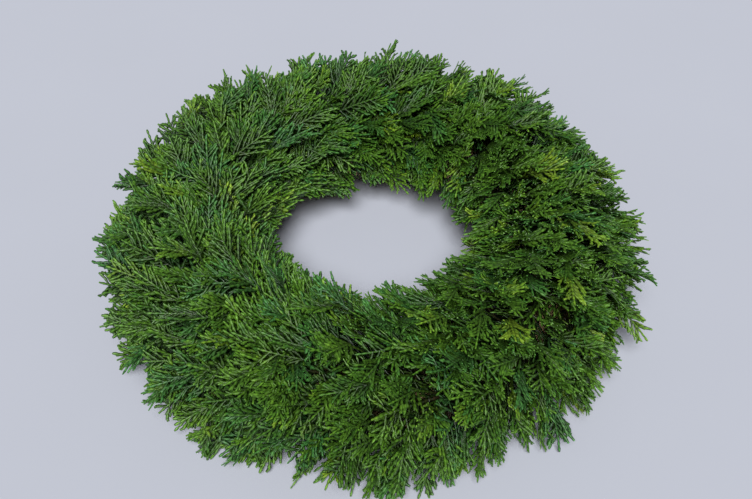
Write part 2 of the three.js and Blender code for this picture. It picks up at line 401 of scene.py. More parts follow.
class TwigTree:
    """Geometry Nodes that give growth lines a flattened body, with a waist between scale leaves.

    The least, the most and the number are sockets of the random value node, whose names recur.
    """

    LEAST: ClassVar[int] = 2
    MOST: ClassVar[int] = 3
    NUMBER: ClassVar[int] = 1
    AT_TIP: ClassVar[float] = 0.999
    INPUTS: ClassVar[dict[str, tuple[str, object]]] = {
        "Lines": ("NodeSocketGeometry", None),
        "Step": ("NodeSocketFloat", 0.0015),
        "Waist": ("NodeSocketFloat", 0.75),
        "Flatness": ("NodeSocketFloat", 0.4),
        "Tip": ("NodeSocketFloat", 0.5),
        "Spread": ("NodeSocketFloat", 0.1),
        "Sides": ("NodeSocketInt", 4),
        "Seed": ("NodeSocketInt", SEED),
        "Finish": ("NodeSocketMaterial", None),
    }

    def __init__(self) -> None:
        """Builds the tree: each step works on the geometry of the one before it."""
        outputs = {"Body": "NodeSocketGeometry"}
        desk, start, end = new_group("twigs", "GeometryNodeTree", self.INPUTS, outputs)
        self.tree = desk.tree
        given = start.outputs
        facing = self._carried(desk, "facing", "FLOAT_VECTOR")
        # Marks where scale leaves meet, for the painted shade in their creases.
        joint = {"Name": Mark.CREASE_SHADE.value, "Value": self._joint(desk)}
        section = {
            "Profile Curve": self._profile(desk, given),
            "Scale": self._width(desk, given),
            "Fill Caps": True,
        }
        steps = [
            ("MeshToCurve", {}, {}),
            ("ResampleCurve", {"Length": given["Step"]}, {"mode": "LENGTH"}),
            ("SetCurveNormal", {"Normal": facing}, {"mode": "FREE"}),
            ("StoreNamedAttribute", joint, {"data_type": "FLOAT"}),
            ("CurveToMesh", section, {}),
            ("RemoveAttribute", {"Name": "facing"}, {}),
            ("SetShadeSmooth", {}, {}),
            ("RealizeInstances", {}, {}),
            ("SetMaterial", {"Material": given["Finish"]}, {}),
        ]
        flow = given["Lines"]
        for kind, feeds, settings in steps:
            flow = desk.add(f"GeometryNode{kind}", {0: flow, **feeds}, **settings).outputs[0]
        desk.feed(end.inputs["Body"], flow)

    @staticmethod
    def _carried(desk: NodeDesk, name: str, data_type: str) -> Socket:
        """What the points carry under a name."""
        kind = "GeometryNodeInputNamedAttribute"
        return desk.add(kind, {"Name": name}, data_type=data_type).outputs[0]

    @staticmethod
    def _profile(desk: NodeDesk, given: bpy.types.NodeOutputs) -> Socket:
        """Makes a twig's section: half width 1, flattened towards the side that it faces.

        Args:
            desk: The tree's desk.
            given: The tree's own inputs.

        Returns:
            The section's curve.
        """
        sizes = {"Resolution": given["Sides"], "Radius": 1.0}
        circle = desk.add("GeometryNodeCurvePrimitiveCircle", sizes).outputs[0]
        flat = desk.add("ShaderNodeCombineXYZ", {"X": given["Flatness"], "Y": 1.0, "Z": 1.0}).outputs[0]
        return desk.add("GeometryNodeTransform", {"Geometry": circle, "Scale": flat}).outputs[0]

    @staticmethod
    def _joint(desk: NodeDesk) -> Socket:
        """1 at every second point of a line, where two scale leaves meet, and 0 between them."""
        along = desk.add("GeometryNodeSplineParameter")
        return desk.math("MODULO", along.outputs["Index"], 2.0)

    def _width(self, desk: NodeDesk, given: bpy.types.NodeOutputs) -> Socket:
        """Works out the line's own width with waists, a blunt tip and a little chance.

        Args:
            desk: The tree's desk.
            given: The tree's own inputs.

        Returns:
            The half width at each point.
        """
        own = self._carried(desk, Mark.WIDTH.value, "FLOAT")
        along = desk.add("GeometryNodeSplineParameter")
        waist = desk.add("ShaderNodeMix", {"Factor": self._joint(desk), "A": 1.0, "B": given["Waist"]})
        at_end = desk.math("GREATER_THAN", along.outputs["Factor"], self.AT_TIP)
        tip = desk.add("ShaderNodeMix", {"Factor": at_end, "A": waist.outputs[0], "B": given["Tip"]})
        limits = {
            self.LEAST: desk.math("SUBTRACT", 1.0, given["Spread"]),
            self.MOST: desk.math("ADD", 1.0, given["Spread"]),
            "Seed": given["Seed"],
        }
        chance = desk.add("FunctionNodeRandomValue", limits, data_type="FLOAT")
        shaped = desk.math("MULTIPLY", own, tip.outputs[0])
        return desk.math("MULTIPLY", shaped, chance.outputs[self.NUMBER])

    def body(
        self, name: str, lines: GrowthLines, shape: TwigShape, finish: bpy.types.Material, seed: int
    ) -> bpy.types.Object:
        """Gives lines their body.

        Args:
            name: The object's name.
            lines: The growth lines.
            shape: How thick, flat and waisted they get.
            finish: Their material.
            seed: For the chance in their widths.

        Returns:
            An object with a plain mesh, at the origin.
        """
        piece = bpy.data.objects.new(name, lines.mesh(name))
        bpy.context.scene.collection.objects.link(piece)
        modifier = piece.modifiers.new("twigs", "NODES")
        modifier.node_group = self.tree
        values = {name.capitalize(): value for name, value in vars(shape).items()}
        values.update({"Seed": seed, "Finish": finish})
        for item in self.tree.interface.items_tree:
            if item.in_out == "INPUT" and item.name in values:
                modifier[item.identifier] = values[item.name]
        return settled(piece)


def settled(piece: bpy.types.Object) -> bpy.types.Object:
    """Makes the result of a piece's modifiers its own plain mesh, and removes them.

    Args:
        piece: The object.

    Returns:
        The same object.
    """
    raw = piece.data
    evaluated = piece.evaluated_get(bpy.context.evaluated_depsgraph_get())
    mesh = bpy.data.meshes.new_from_object(evaluated)
    piece.modifiers.clear()
    piece.data = mesh
    mesh.name = piece.name
    bpy.data.meshes.remove(raw)
    return piece


# ---- Sprays ------------------------------------------------------------------------------------


@dataclass(frozen=True)
class SprayHabit:
    """How a spray branches, on each side of its rib.

    The side twigs leave the rib between two shares of its length. Their tips, as shares of the
    length, and their widths, as shares of the half width, run from the lowest twig to the last. The
    gaps and the longest twig are in millimetres, the bow and the angle in degrees. The curl is a
    share of a twig's own length, and the fold of the way out from the rib.
    """

    root_shares: Range
    finger_tips: Range
    finger_widths: Range
    side_gap: float
    side_bow: float
    twig_gap: float
    twig_angle: float
    twig_share: float
    twig_longest: float
    curl: float
    fold: float


class Kind(Enum):
    """The kinds of spray: the frame's own, the fans that fill its outer form, those near the straw."""

    MAIN = SprayHabit(
        root_shares=(0.12, 0.86),
        finger_tips=(0.48, 1.0),
        finger_widths=(1.0, 0.45),
        side_gap=10.5,
        side_bow=11.0,
        twig_gap=7.0,
        twig_angle=29.0,
        twig_share=0.42,
        twig_longest=10.0,
        curl=0.16,
        fold=0.18,
    )
    TIP = SprayHabit(
        root_shares=(0.58, 0.92),
        finger_tips=(0.83, 1.03),
        finger_widths=(1.0, 0.6),
        side_gap=5.3,
        side_bow=13.0,
        twig_gap=7.4,
        twig_angle=24.0,
        twig_share=0.3,
        twig_longest=4.6,
        curl=0.4,
        fold=0.25,
    )
    COVER = SprayHabit(
        root_shares=(0.1, 0.86),
        finger_tips=(0.48, 1.0),
        finger_widths=(1.0, 0.45),
        side_gap=12.0,
        side_bow=12.0,
        twig_gap=9.0,
        twig_angle=34.0,
        twig_share=0.36,
        twig_longest=8.0,
        curl=0.2,
        fold=0.2,
    )


@dataclass
class Place:
    """Where a spray lies: it bends a flat spray, with its rib along y, over the wreath's form."""

    form: WreathForm
    layer: float
    seat: float
    length: float
    half_width: float

    STEP: ClassVar[float] = 0.5
    LEAST_AREA: ClassVar[float] = 1e-9

    def point(self, x: np.ndarray, y: np.ndarray) -> np.ndarray:
        """The points of the wreath that flat points of the spray come to lie at."""
        raise NotImplementedError

    def facing(self, x: np.ndarray, y: np.ndarray) -> np.ndarray:
        """Gives the directions that the spray's upper side faces.

        Args:
            x: How far the points are to the right of the rib.
            y: How far they are along it.

        Returns:
            Unit vectors, with x, y and z last.
        """
        along_x = self.point(x + self.STEP, y) - self.point(x - self.STEP, y)
        along_y = self.point(x, y + self.STEP) - self.point(x, y - self.STEP)
        up = np.cross(along_x, along_y)
        return up / np.maximum(np.linalg.norm(up, axis=-1, keepdims=True), self.LEAST_AREA)


@dataclass
class FanPlace(Place):
    """A small spray: a bare stalk from the stem, then a fan that lies on the others like a shingle.

    The heading is the fan's direction on the wreath's form: 0 along the ring, 90 outwards and
    down, -90 inwards. Its pitch lifts it from the form and its roll tilts it sideways, in degrees.
    """

    around: float = 0.0
    section: float = 90.0
    reach: float = 60.0
    heading: float = 0.0
    pitch: float = 20.0
    roll: float = 0.0
    stalk_share: float = 0.6

    INTO_STEM: ClassVar[float] = 0.03

    def point(self, x: np.ndarray, y: np.ndarray) -> np.ndarray:
        """Gives the points of the wreath that flat points of the spray come to lie at.

        Args:
            x: How far the points are to the right of the rib.
            y: How far they are along it.

        Returns:
            The points, with x, y and z last.
        """
        form = self.form
        stalk = self.stalk_share * self.length
        share = np.clip(y / stalk, -self.INTO_STEM, 1.0)
        ahead = np.maximum(y - stalk, 0.0)
        heading, pitch = math.radians(self.heading), math.radians(self.pitch)
        flat = ahead * math.cos(pitch)
        along = flat * math.cos(heading) + x * math.sin(heading)
        across = flat * math.sin(heading) - x * math.cos(heading)
        reach = mix(form.root_reach, self.reach, share) + ahead * math.sin(pitch)
        reach = reach + x * math.tan(math.radians(self.roll))
        section = mix(self.seat, self.section, share) - np.degrees(across / reach)
        radius = form.ring_radius + reach * np.cos(np.radians(section))
        around = mix(self.layer, self.around, share) + np.degrees(along / radius)
        return form.point(around, section, reach)


@dataclass
class SprayPlace(Place):
    """A larger spray: it rises from its stem to the wreath's outer form, all by one rule.

    Its tip runs further along the ring by the trail, so that it lies flatter on the others.
    """

    lane: float = 0.0
    rise: float = 1.0
    twist: float = 0.0
    trail: float = 0.0
    fan_out: float = 1.75
    rise_soon: float = 1.25
    layer_step: float = 1.9
    edge_gap: float = 1.0
    widest: float = 1.15

    INTO_STEM: ClassVar[float] = 0.02
    PAST_TIP: ClassVar[float] = 0.12

    def point(self, x: np.ndarray, y: np.ndarray) -> np.ndarray:
        """Gives the points of the wreath that flat points of the spray come to lie at.

        Args:
            x: How far the points are to the right of the rib.
            y: How far they are along it.

        Returns:
            The points, with x, y and z last.
        """
        form = self.form
        q = np.clip(y / self.length, -self.INTO_STEM, 1.0 + self.PAST_TIP)
        first, last = form.section_angle(0.0, form.root_reach), form.section_angle(1.0, form.root_reach)
        root_lane = (self.seat - first) / (last - first)
        middle = mix(root_lane, self.lane, q * mix(self.fan_out, 1, q))
        section = form.section_angle(middle, mix(form.root_reach, form.low_reach, q))
        full = form.foliage_reach(section) * self.rise
        reach = mix(form.root_reach, full, q * mix(self.rise_soon, 1, q))
        whole = np.radians(form.section_angle(1.0, reach) - form.section_angle(0.0, reach)) * reach
        room = whole * np.where(x < 0, 1 - middle, middle) - self.edge_gap
        fit = np.clip(room / (self.widest * self.half_width), 0.0, 1.0)
        place = form.section_angle(middle - x * fit / whole, reach)
        turn = self.layer + form.lay_angle(place, reach)
        turn = turn + self.twist * self.layer_step * q * x / self.half_width
        turn = turn + np.degrees(self.trail / form.ring_radius) * np.maximum(q, 0.0) ** 2
        return form.point(turn, place, reach)


@dataclass(frozen=True)
class Variety:
    """Between which values the draws within a spray fall.

    The places of twigs are in millimetres and the turn of a side twig in degrees. The others are
    shares of what they vary, and a single value is a standard deviation.
    """

    fold: Range = (-0.5, 1.0)
    sway: Range = (-0.05, 0.05)
    bow: Range = (-0.5, 2.5)
    curl: Range = (-0.4, 1.0)
    tone: float = 0.12
    side_root: Range = (-0.2, 0.2)
    side_width: Range = (0.72, 1.08)
    side_length: Range = (0.8, 1.1)
    side_turn: float = 4.0
    twig_first: Range = (0.5, 1.1)
    twig_root: Range = (-0.8, 0.8)
    twig_angle: Range = (0.8, 1.2)
    twig_length: Range = (0.7, 1.15)
    twig_curl: Range = (-0.3, 0.35)


@dataclass
class Spray:
    """One flat spray: a rib, side twigs on both sides of it, and twigs on these.

    The reach and the forward place of the side twigs' tips, and the leader, which is the end of the
    rib, are shares of the half width and the length. Half widths of the rib and twigs and the lowest
    height are in millimetres. The rib is brown up to its bark end. The twigs carry painted shade near
    the spray's root, deep in the wreath, which lifts to full colour over two shares of the length; the
    green also grows fresher towards each twig's tip.
    """

    place: Place
    habit: SprayHabit
    tone: float
    side_reach: dict[int, np.ndarray]
    side_forward: dict[int, np.ndarray]
    leader: float
    variety: Variety = Variety()
    lowest: float = 2.4
    rib_width: float = 1.35
    rib_taper: Range = (1.5, 1.0)
    rib_start: float = -0.01
    bark_end: float = 0.4545
    least_sides: int = 3
    stagger: float = 0.25
    twig_width: float = 1.7
    outer_twig_width: float = 0.94
    outer_twig_bow: float = -0.25
    least_twig: float = 3.2
    last_twig_at: float = 0.93
    # Painted shade near the spray's root: the twigs' light runs from the first value at the first share of
    # the length to the second at the second.
    fresh_over: Range = (0.45, 0.95)
    fresh_inside: Range = (0.3, 1.0)
    fresh_along: Range = (0.35, 1.0)
    rib_points: int = 9
    side_points: int = 6
    twig_points: int = 3

    def grow(self, lines: GrowthLines, chance: Chance) -> None:
        """Adds the spray's lines to a bunch's.

        Args:
            lines: The bunch's growth lines.
            chance: The bunch's random numbers.
        """
        vary = self.variety
        fold = self.habit.fold * chance.uniform(*vary.fold)
        sway = chance.uniform(*vary.sway) * self.place.length
        self._rib(lines, sway)
        for side in (1, -1):
            roots, angles, lengths = self._sides(side, sway, chance)
            bow = -side * self.habit.side_bow * chance.uniform(*vary.bow, len(lengths))
            flat, turns = swept(roots, angles, bow, lengths, self.side_points)
            curl = self.habit.curl * chance.uniform(*vary.curl, len(lengths))
            tone = self.tone + chance.normal(0.0, vary.tone, len(lengths))
            self._lay(lines, flat, lengths, curl, fold, tone, self.twig_width)
            self._twigs(lines, flat, turns, lengths, curl, fold, tone, chance)

    def _rib(self, lines: GrowthLines, sway: float) -> None:
        """Adds the rib, brown where it leaves the stem.

        Args:
            lines: The bunch's growth lines.
            sway: How far the rib bends sideways.
        """
        share = np.linspace(self.rib_start, self.leader, self.rib_points)
        x, y = sway * np.sin(np.pi * share), share * self.place.length
        points, up = self.place.point(x, y), self.place.facing(x, y)
        points[..., 2] = np.maximum(points[..., 2], self.lowest)
        along = np.clip(share, 0, 1)
        marks = {
            Mark.WIDTH: mix(*self.rib_taper, along) * self.rib_width * MM,
            Mark.TONE: self.tone,
            # Darker towards the rib's root: partly fresher growth at the tip, partly painted shade deep in
            # the foliage.
            Mark.FRESH_AND_SHADE: along**2,
            Mark.BARK: np.clip(1 - share / self.bark_end, 0, 1),
        }
        lines.add(points[None], up[None], marks)

    def _sides(
        self, side: int, sway: float, chance: Chance
    ) -> tuple[np.ndarray, np.ndarray, np.ndarray]:
        """Draws the side twigs of one side.

        Args:
            side: 1 or -1.
            sway: How far the rib bends sideways.
            chance: The bunch's random numbers.

        Returns:
            Where each leaves the rib, in which direction and how long it is.
        """
        vary = self.variety
        low, high = self.habit.root_shares
        length = self.place.length
        count = max(self.least_sides, round(length * (high - low) / self.habit.side_gap))
        along = np.arange(count) + self.stagger * (1 + side) + chance.uniform(*vary.side_root, count)
        along = np.clip(along / count, 0.0, 1.0)
        fingers = np.linspace(0, 1, len(self.side_reach[side]))
        reach = self.place.half_width * np.interp(along, fingers, self.side_reach[side])
        forward = length * np.interp(along, fingers, self.side_forward[side])
        root_share = mix(low, high, along)
        roots = np.stack([sway * np.sin(np.pi * root_share), root_share * length], axis=-1)
        over = side * reach * chance.uniform(*vary.side_width, count) - roots[:, 0]
        ahead = (forward - roots[:, 1]) * chance.uniform(*vary.side_length, count)
        angles = np.degrees(np.arctan2(over, ahead)) + chance.normal(0.0, vary.side_turn, count)
        return roots, angles, np.hypot(over, ahead)

    def _twigs(
        self,
        lines: GrowthLines,
        flat: np.ndarray,
        turns: np.ndarray,
        lengths: np.ndarray,
        curl: np.ndarray,
        fold: float,
        tone: np.ndarray,
        chance: Chance,
    ) -> None:
        """Adds the twigs that leave the side twigs on alternate sides.

        Args:
            lines: The bunch's growth lines.
            flat: The side twigs' flat points.
            turns: Their direction at each point.
            lengths: Their lengths.
            curl: How far each curls up, as a share of its length.
            fold: How far the spray is folded at its rib.
            tone: The tone of each side twig.
            chance: The bunch's random numbers.
        """
        habit, vary = self.habit, self.variety
        roots, angles, sizes, lifts, tones = [], [], [], [], []
        share = np.linspace(0, 1, flat.shape[1])
        for k, length in enumerate(lengths):
            first = chance.uniform(*vary.twig_first) * habit.twig_gap
            places = np.arange(first, self.last_twig_at * length, habit.twig_gap)
            places = places + chance.uniform(*vary.twig_root, len(places))
            q = np.clip(places / length, 0, 1)
            way = np.where(np.arange(len(q)) % 2, 1.0, -1.0) * chance.choice([-1, 1])
            size = habit.twig_share * (length - places) + self.least_twig
            roots.append(np.stack([np.interp(q, share, flat[k, :, i]) for i in (0, 1)], axis=-1))
            turn = way * habit.twig_angle * chance.uniform(*vary.twig_angle, len(q))
            angles.append(np.interp(q, share, turns[k]) + turn)
            sizes.append(np.minimum(size, habit.twig_longest) * chance.uniform(*vary.twig_length, len(q)))
            lifts.append(curl[k] * length * q**2)
            tones.append(np.full(len(q), tone[k]))
        angles, sizes = np.concatenate(angles), np.concatenate(sizes)
        bow = self.outer_twig_bow * angles
        twigs, _ = swept(np.concatenate(roots), angles, bow, sizes, self.twig_points)
        extra = chance.uniform(*vary.twig_curl, len(sizes))
        width = self.outer_twig_width * self.twig_width
        lifts, tones = np.concatenate(lifts), np.concatenate(tones)
        self._lay(lines, twigs, sizes, extra, fold, tones, width, lifts)

    def _lay(
        self,
        lines: GrowthLines,
        flat: np.ndarray,
        lengths: np.ndarray,
        curl: np.ndarray,
        fold: float,
        tone: np.ndarray,
        width: float,
        lifts: Numbers = 0.0,
    ) -> None:
        """Bends flat lines into place, curled up or down towards their tips and folded at the rib.

        Args:
            lines: The bunch's growth lines.
            flat: The flat points, as lines, points and x, y.
            lengths: The lines' lengths.
            curl: How far each curls up, as a share of its length.
            fold: How far the spray is folded at its rib.
            tone: The tone of each line.
            width: The half width of all.
            lifts: How far up each line starts.
        """
        x, y = flat[..., 0], flat[..., 1]
        points, up = self.place.point(x, y), self.place.facing(x, y)
        share = np.linspace(0, 1, flat.shape[1])
        lift = (curl * lengths)[:, None] * share**2 + np.reshape(lifts, (-1, 1)) - fold * np.abs(x)
        points = points + up * lift[..., None]
        points[..., 2] = np.maximum(points[..., 2], self.lowest)
        # Painted shade: twigs near the spray's root, deep in the wreath, come out darker; the mark below
        # also grows fresher towards each twig's tip.
        outside = np.interp(y / self.place.length, self.fresh_over, self.fresh_inside)
        marks = {
            Mark.WIDTH: width * MM,
            Mark.TONE: tone[:, None],
            Mark.FRESH_AND_SHADE: mix(*self.fresh_along, share) * outside,
        }
        lines.add(points, up, marks)


def swept(
    roots: np.ndarray, angles: np.ndarray, bow: Numbers, lengths: np.ndarray, count: int
) -> tuple[np.ndarray, np.ndarray]:
    """Draws flat, evenly bowed lines.

    Args:
        roots: Where each line starts, as x and y.
        angles: Its mean direction, in degrees from y towards x.
        bow: How far it turns from its start to its end, in degrees.
        lengths: Its length.
        count: Points in each line.

    Returns:
        The points as lines, points and x, y, and the direction at each point.
    """
    share = np.linspace(-0.5, 0.5, count)
    turns = angles[:, None] + np.reshape(bow, (-1, 1)) * share
    between = np.radians((turns[:, 1:] + turns[:, :-1]) / 2)
    steps = np.stack([np.sin(between), np.cos(between)], axis=-1) * (lengths / (count - 1))[:, None, None]
    flat = np.concatenate([np.zeros((len(lengths), 1, 2)), np.cumsum(steps, axis=1)], axis=1)
    return roots[:, None] + flat, turns


# ---- Bunches -----------------------------------------------------------------------------------


@dataclass(frozen=True)
class FrameDraws:
    """Between which values the frame drew its own sprays and their fingers, all as shares."""

    lane: Range = (0.42, 0.58)
    layer: Range = (-0.25, 0.25)
    width: Range = (0.9, 1.1)
    rise: Range = (0.95, 1.05)
    twist: Range = (-0.5, 0.5)
    leader: Range = (0.98, 1.06)
    finger_width: Range = (0.85, 1.1)
    finger_tip: Range = (0.94, 1.04)


@dataclass(frozen=True)
class FanDraws:
    """How the small fans lie, and how far they vary.

    The tables give, at section angles, a fan's mean heading and pitch in degrees, how far past its
    root it starts along the ring in millimetres, and how much of the wreath's reach its tip has.
    The length and the half width are a fan's own, in millimetres, and the roots are the degrees of
    the bunch in which stalks leave the stem. The reach and further vary the tables' values as shares.
    Evenly and turn spread the fans round the bunch as shares of its pitch. The lean moves a fan back
    against its heading, and the tip share is the part of its rise that the reach of its tip counts.
    """

    heading: Table = ((0.0, 60.0, 90.0, 115.0, 140.0, 170.0), (25.0, 50.0, 40.0, 5.0, -40.0, -20.0))
    pitch: Table = ((0.0, 45.0, 80.0, 110.0, 140.0, 170.0), (52.0, 42.0, 30.0, 30.0, 42.0, 50.0))
    ahead: Table = ((0.0, 90.0, 170.0), (8.0, 45.0, 8.0))
    full: Table = ((90.0, 125.0), (1.0, 0.95))
    length: Range = (34.0, 46.0)
    half_width: Range = (9.0, 14.0)
    reach: Range = (0.82, 1.09)
    further: Range = (0.3, 1.3)
    turn: Range = (0.0, 0.3)
    heading_spread: float = 32.0
    pitch_spread: float = 10.0
    pitch_limits: Range = (-20.0, 12.0)
    roll_spread: float = 20.0
    roll_limits: Range = (-30.0, 30.0)
    lean: float = 0.2
    tip_share: float = 0.9
    last_lane: float = 0.97
    evenly: float = 0.618
    roots: Range = (1.5, 15.0)


@dataclass(frozen=True)
class CoverDraws:
    """How the low sprays over the straw vary. The trail is in millimetres."""

    lane: Range = (0.2, 0.8)
    length_share: float = 0.72
    rise: Range = (0.5, 0.8)
    twist: Range = (-1.0, 1.0)
    trail: Range = (10.0, 50.0)


@dataclass(frozen=True)
class ToneMix:
    """The sprays' tones, from bluish at -1 to yellowish at 1, with a share of each kind apart."""

    yellowish_share: float = 0.04
    yellowish: Range = (0.6, 0.9)
    bluish_share: float = 0.1
    bluish: Range = (-0.95, -0.5)
    spread: float = 0.28
    limits: Range = (-0.6, 0.6)

    def draw(self, chance: Chance) -> float:
        """Draws a spray's tone.

        Args:
            chance: The bunch's random numbers.

        Returns:
            The tone.
        """
        pick = chance.uniform()
        if pick < self.yellowish_share:
            return chance.uniform(*self.yellowish)
        if pick < self.yellowish_share + self.bluish_share:
            return chance.uniform(*self.bluish)
        return float(np.clip(chance.normal(0.0, self.spread), *self.limits))


@dataclass
class Foliage:
    """All bunches of the wreath, each in the place of its solid. Layers are in degrees."""

    form: WreathForm
    twigs: TwigTree
    finish: bpy.types.Material
    frame_draws: FrameDraws = FrameDraws()
    fans: FanDraws = FanDraws()
    cover_draws: CoverDraws = CoverDraws()
    tones: ToneMix = ToneMix()
    first_layer: float = 3.0
    layer_step: float = 1.9
    layer_turns: int = 3
    stem_start: float = 1.0
    stem_past_root: float = 0.9
    stem_half_width: float = 2.0
    stem_points: int = 6
    free_fingers: int = 4
    shape: TwigShape = TwigShape(
        step=2.4 * MM, waist=0.66, flatness=0.55, tip=0.6, spread=0.12, sides=3
    )

    def build(self) -> None:
        """Builds the bunches in the frame's order, so that each draws what its solid drew."""
        stream = DrawStream(SEED)
        lanes = sum(row.value.sprays for row in Row)
        first_lane = 0
        for number, row in enumerate(Row):
            for station in range(self.form.stations):
                stream.draw()
                chance = np.random.default_rng([SEED, number, station])
                lines = self._bunch(row.value, first_lane, lanes, station, stream, chance)
                name = f"{row.value.name}_bunch_{station + 1:02d}"
                piece = self.twigs.body(f"{name}_sprays", lines, self.shape, self.finish, SEED + station)
                settle_piece(piece, "foliage", name)
            first_lane += row.value.sprays

    def _bunch(
        self,
        row: RowPlan,
        first_lane: int,
        lanes: int,
        station: int,
        stream: DrawStream,
        chance: Chance,
    ) -> GrowthLines:
        """Grows one bunch: its stem, the frame's sprays and the smaller ones.

        Args:
            row: The bunch's row.
            first_lane: The row's first lane.
            lanes: The lanes of all rows.
            station: The bunch's number in its row, from 0.
            stream: The frame's numbers.
            chance: The bunch's own random numbers.

        Returns:
            The bunch's growth lines.
        """
        lines = GrowthLines()
        start = station * self.form.pitch
        layers = [start + self._layer(first_lane + k, lanes) for k in range(row.sprays)]
        self._stem(lines, row, start, max(layers) + self.stem_past_root)
        for k, layer in enumerate(layers):
            self._main_spray(row, k, layer, stream, chance).grow(lines, chance)
        for k in range(row.tips):
            self._tip_spray(row, start, k, chance).grow(lines, chance)
        for k in range(row.covers):
            self._cover_spray(row, start, k, chance).grow(lines, chance)
        return lines

    def _layer(self, lane: int, lanes: int) -> float:
        """Gives the layer of a lane, so that lanes side by side are some layers apart.

        Args:
            lane: The lane, counted over all rows.
            lanes: How many there are.

        Returns:
            Degrees from the bunch's start.
        """
        turned = lane * self.layer_turns
        order = turned % lanes + self.layer_turns - 1 - turned // lanes
        return self.first_layer + order * self.layer_step

    def _stem(self, lines: GrowthLines, row: RowPlan, start: float, end: float) -> None:
        """Adds the bunch's woody stem, along its flat of the straw.

        Args:
            lines: The bunch's growth lines.
            row: The bunch's row.
            start: Where the bunch starts, in degrees round the ring.
            end: Where the stem ends.
        """
        around = np.linspace(start + self.stem_start, end, self.stem_points)
        points = self.form.point(around, row.seat, self.form.root_reach)
        up = points - self.form.point(around, row.seat, 0.0)
        marks = {Mark.WIDTH: self.stem_half_width * MM, Mark.BARK: 1.0}
        lines.add(points[None], up[None], marks)

    def _size(self, lane: float) -> float:
        """The length of a spray that reaches a lane's full height."""
        form = self.form
        rise = form.foliage_reach(form.section_angle(lane, form.low_reach)) - form.root_reach
        return math.hypot(rise, form.lay_base + form.lay_per_rise * rise)

    def _main_spray(
        self, row: RowPlan, k: int, layer: float, stream: DrawStream, chance: Chance
    ) -> Spray:
        """Makes one of the frame's own sprays, with its place and outline drawn as there.

        Args:
            row: The bunch's row.
            k: The spray's number in the bunch.
            layer: Its layer, in degrees round the ring.
            stream: The frame's numbers.
            chance: The bunch's own random numbers.

        Returns:
            The spray.
        """
        draws, between = self.frame_draws, stream.between
        lane = mix(row.start, row.end, (k + between(*draws.lane)) / row.sprays)
        layer = layer + between(*draws.layer) * self.layer_step
        place = SprayPlace(
            form=self.form,
            layer=layer,
            seat=row.seat,
            lane=lane,
            length=self._size(lane),
            half_width=row.half_width * between(*draws.width),
            rise=between(*draws.rise),
            twist=between(*draws.twist),
        )
        habit = Kind.MAIN.value
        reach, forward = {}, {}
        reach[1], forward[1] = self._fingers(habit, row.fingers, between)
        leader = between(*draws.leader)
        reach[-1], forward[-1] = self._fingers(habit, row.fingers, between)
        return Spray(place, habit, self.tones.draw(chance), reach, forward, leader)

    def _fingers(
        self, habit: SprayHabit, count: int, between: Callable[[float, float], float]
    ) -> tuple[np.ndarray, np.ndarray]:
        """Draws the fingers of one side, from the lowest to the last.

        Args:
            habit: How the spray branches.
            count: How many fingers the side has.
            between: Draws a number between two.

        Returns:
            How far they reach over, and how far forwards.
        """
        draws = self.frame_draws
        reach, forward = [], []
        for i in range(count):
            along = i / count
            reach.append(mix(*habit.finger_widths, along) * between(*draws.finger_width))
            forward.append(mix(*habit.finger_tips, along) * between(*draws.finger_tip))
        return np.array(reach + [habit.finger_widths[1]]), np.array(forward + [1.0])

    def _tip_spray(self, row: RowPlan, start: float, k: int, chance: Chance) -> Spray:
        """Makes a small fan on a bare stalk, at the wreath's outer form.

        Args:
            row: The bunch's row.
            start: Where the bunch starts, in degrees round the ring.
            k: The fan's number in the bunch.
            chance: The bunch's random numbers.

        Returns:
            The spray.
        """
        form, fans = self.form, self.fans
        lane = mix(row.start, row.end, (k + chance.uniform(0.0, 1.0)) / row.tips) * fans.last_lane
        section = form.section_angle(lane, form.low_reach)
        heading = np.interp(section, *fans.heading)
        pitch = np.interp(section, *fans.pitch)
        pitch = pitch + np.clip(chance.normal(0.0, fans.pitch_spread), *fans.pitch_limits)
        length = chance.uniform(*fans.length)
        tip_reach = form.foliage_reach(section) * np.interp(section, *fans.full)
        tip_reach = tip_reach * chance.uniform(*fans.reach)
        turn = (k * fans.evenly + chance.uniform(*fans.turn)) % 1.0 * form.pitch
        ahead = np.interp(section, *fans.ahead) * chance.uniform(*fans.further)
        place = FanPlace(
            form=form,
            layer=start + np.clip(turn, *fans.roots),
            seat=row.seat,
            length=length / (1 - FanPlace.stalk_share),
            half_width=chance.uniform(*fans.half_width),
            around=start + turn + np.degrees(ahead / form.ring_radius),
            section=section + heading * fans.lean,
            reach=tip_reach - fans.tip_share * length * math.sin(math.radians(pitch)),
            heading=heading + chance.normal(0.0, fans.heading_spread),
            pitch=pitch,
            roll=np.clip(chance.normal(0.0, fans.roll_spread), *fans.roll_limits),
        )
        return self._free_spray(place, Kind.TIP.value, chance)

    def _cover_spray(self, row: RowPlan, start: float, k: int, chance: Chance) -> Spray:
        """Makes a low spray that hides the straw.

        Args:
            row: The bunch's row.
            start: Where the bunch starts, in degrees round the ring.
            k: The spray's number in the bunch.
            chance: The bunch's random numbers.

        Returns:
            The spray.
        """
        draws = self.cover_draws
        lane = mix(row.start, row.end, (k + chance.uniform(*draws.lane)) / row.covers)
        place = SprayPlace(
            form=self.form,
            layer=start + chance.uniform(0, self.form.pitch),
            seat=row.seat,
            lane=lane,
            length=self._size(lane) * draws.length_share,
            half_width=row.half_width,
            rise=chance.uniform(*draws.rise),
            twist=chance.uniform(*draws.twist),
            trail=chance.uniform(*draws.trail),
        )
        return self._free_spray(place, Kind.COVER.value, chance)

